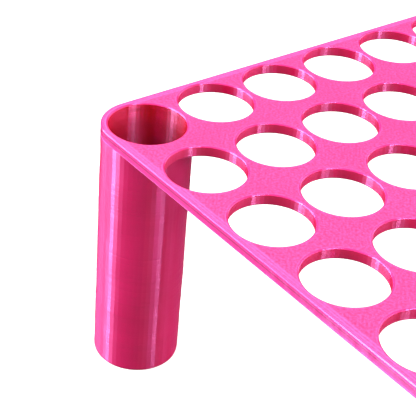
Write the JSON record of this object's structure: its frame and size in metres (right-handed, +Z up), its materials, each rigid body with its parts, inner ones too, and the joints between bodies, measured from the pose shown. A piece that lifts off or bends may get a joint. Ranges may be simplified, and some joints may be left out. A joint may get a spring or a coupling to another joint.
{
  "type": "microcentrifuge tube rack",
  "caption": "Thin rectangular plate with rounded corners and a grid of round tube seats, standing on hollow round corner legs that are flush with the corners.",
  "frame": {"origin": "centre of the rack on the surface that its feet stand on", "axes": "+Z up, +X across the columns, +Y along the rows, which is the rack's longest side"},
  "size_m": [0.08, 0.097, 0.04],
  "materials": {
    "plate_plastic": "semi-gloss printed plastic, hot pink, fine grain on the top face",
    "leg_plastic": "glossy printed plastic, hot pink, fine level layer lines"
  },
  "bodies": {
    "root": {"top_plate": "plate_plastic", "leg_front_left": "leg_plastic", "leg_front_right": "leg_plastic", "leg_back_left": "leg_plastic", "leg_back_right": "leg_plastic"}
  },
  "joints": []
}
